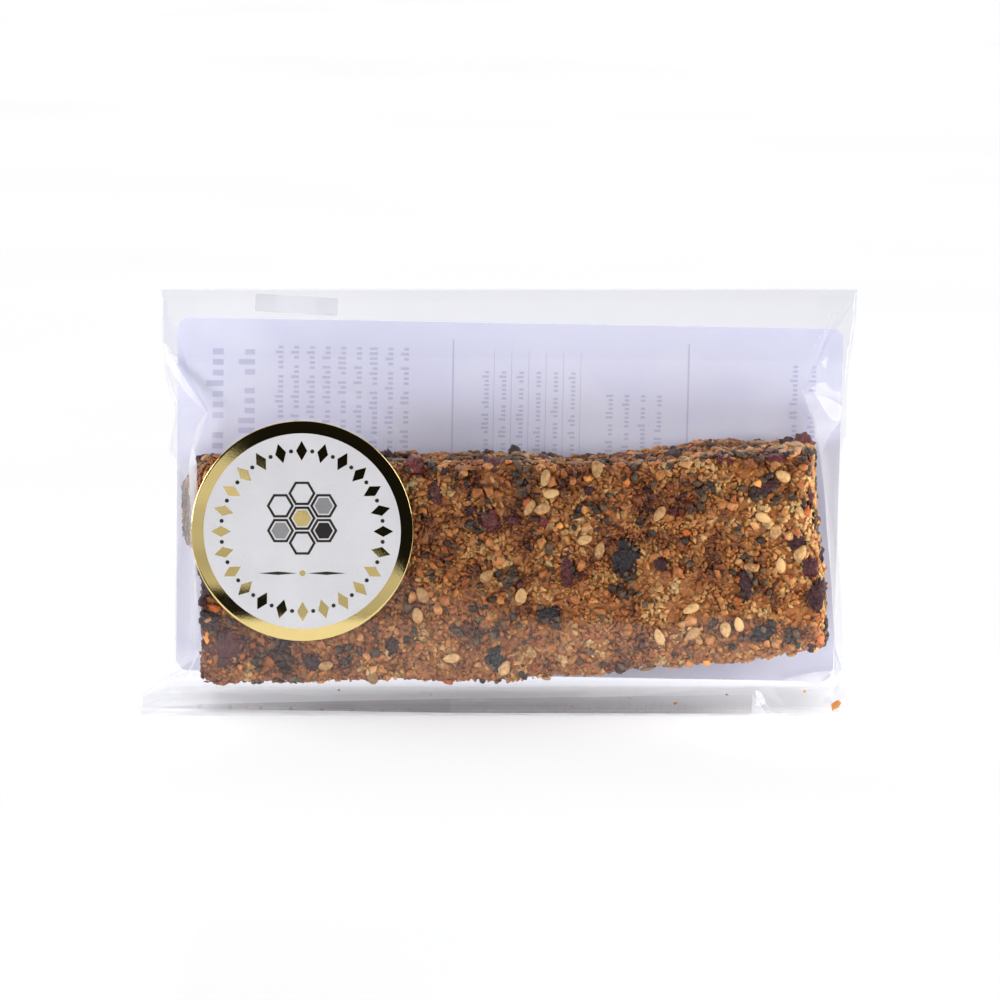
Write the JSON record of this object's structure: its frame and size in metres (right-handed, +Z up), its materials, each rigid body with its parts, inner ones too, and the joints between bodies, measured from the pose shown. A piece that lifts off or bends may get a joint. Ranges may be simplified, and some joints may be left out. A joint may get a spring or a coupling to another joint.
{
  "type": "granola bar in a clear bag",
  "caption": "Granola bar sealed in a clear side-gusset film bag, folded over at the top, with a round front sticker and a paper label on the back.",
  "frame": {"origin": "on the floor, in the middle of the standing pack's box", "axes": "+X along the bar to its right end, +Y from the front film to the back label, +Z up"},
  "size_m": [0.1316, 0.0264, 0.075],
  "materials": {
    "film": "clear glossy film",
    "sticker": "satin paper with a mirror-gold foil rim",
    "paper": "matt white label paper",
    "tape": "clear tape",
    "granola": "baked syrup and grain, slightly glossy",
    "seeds": "dry satin seed coats",
    "fruit": "dried fruit with a moist gloss"
  },
  "bodies": {
    "root": {"bag": "film", "sticker": "sticker", "back_label": "paper", "tape_tab": "tape"}
  },
  "joints": []
}
